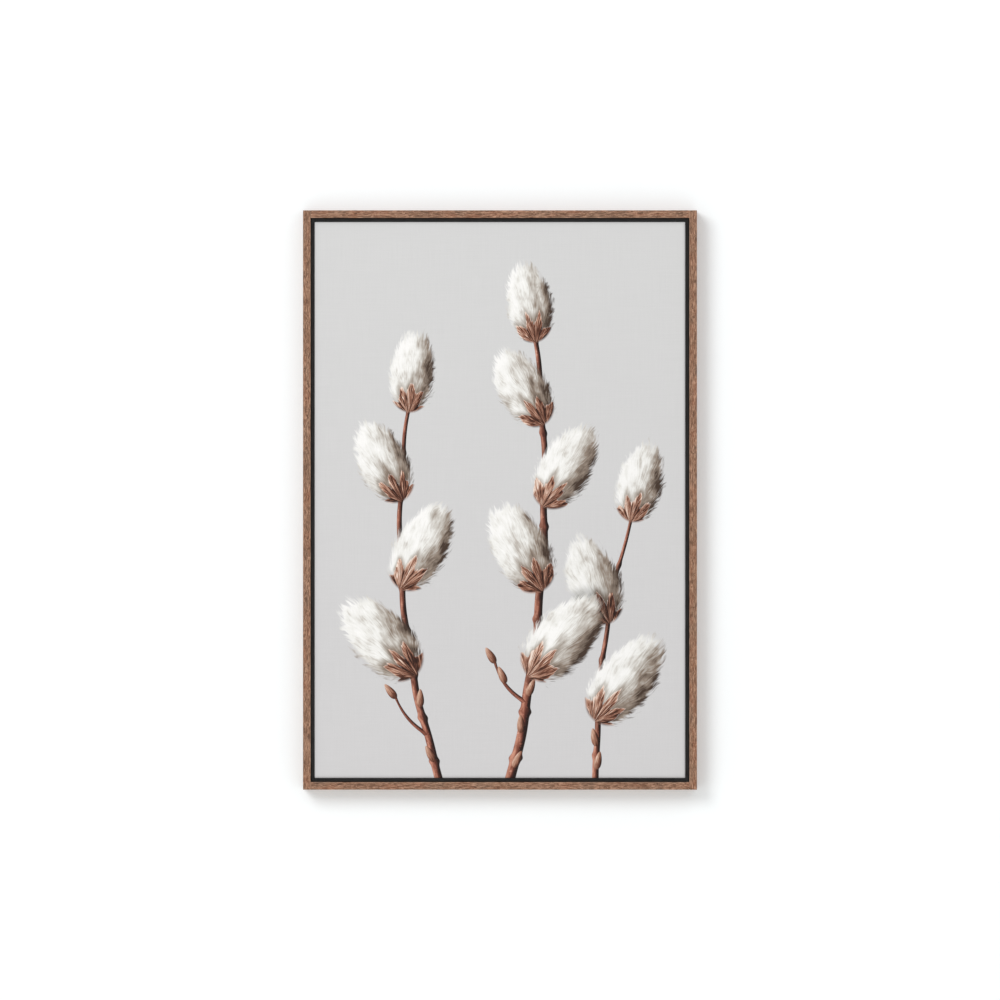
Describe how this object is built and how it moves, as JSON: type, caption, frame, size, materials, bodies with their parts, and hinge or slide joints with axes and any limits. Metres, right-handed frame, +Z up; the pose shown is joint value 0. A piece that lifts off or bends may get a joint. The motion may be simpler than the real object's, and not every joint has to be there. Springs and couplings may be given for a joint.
{
  "type": "framed canvas print",
  "caption": "Portrait canvas print on a keyed wooden stretcher, held by black battens inside a slim walnut shadow-gap frame with butt-jointed corners and a sawtooth hanger.",
  "frame": {"origin": "hanging point: the top of the sawtooth hanger's middle notch, in the plane of the wall", "axes": "+X to the viewer's right, +Z up along the tall side, +Y into the wall; the picture faces -Y"},
  "size_m": [0.6476, 0.0385, 0.9524],
  "materials": {
    "walnut": "walnut-stained timber, satin, straight fine grain along each slat",
    "black_lacquer": "black satin paint on timber",
    "pine": "bare planed pine",
    "printed_canvas": "matt printed canvas, fine plain weave, white and unprinted on the folded back",
    "birch": "bare birch",
    "zinc_steel": "bright zinc plating",
    "brassed_steel": "thin brass plating on pressed steel",
    "rubber": "matt black rubber"
  },
  "bodies": {
    "root": {"stile_left": "walnut", "stile_right": "walnut", "rail_top": "walnut", "rail_bottom": "walnut", "ledge_left": "black_lacquer", "ledge_right": "black_lacquer", "ledge_top": "black_lacquer", "ledge_bottom": "black_lacquer", "stretcher_left": "pine", "stretcher_right": "pine", "stretcher_top": "pine", "stretcher_bottom": "pine", "stretcher_brace": "pine", "canvas": "printed_canvas", "key_bottom_left_1": "birch", "key_bottom_left_2": "birch", "key_top_left_1": "birch", "key_top_left_2": "birch", "key_top_right_1": "birch", "key_top_right_2": "birch", "key_bottom_right_1": "birch", "key_bottom_right_2": "birch", "ledge_screw_bottom_1": "zinc_steel", "ledge_screw_bottom_2": "zinc_steel", "ledge_screw_top_1": "zinc_steel", "ledge_screw_top_2": "zinc_steel", "ledge_screw_left_1": "zinc_steel", "ledge_screw_left_2": "zinc_steel", "ledge_screw_left_3": "zinc_steel", "ledge_screw_right_1": "zinc_steel", "ledge_screw_right_2": "zinc_steel", "ledge_screw_right_3": "zinc_steel", "hanger_plate": "brassed_steel", "hanger_nail_left": "brassed_steel", "hanger_nail_right": "brassed_steel", "bumper_left": "rubber", "bumper_right": "rubber"}
  },
  "joints": []
}
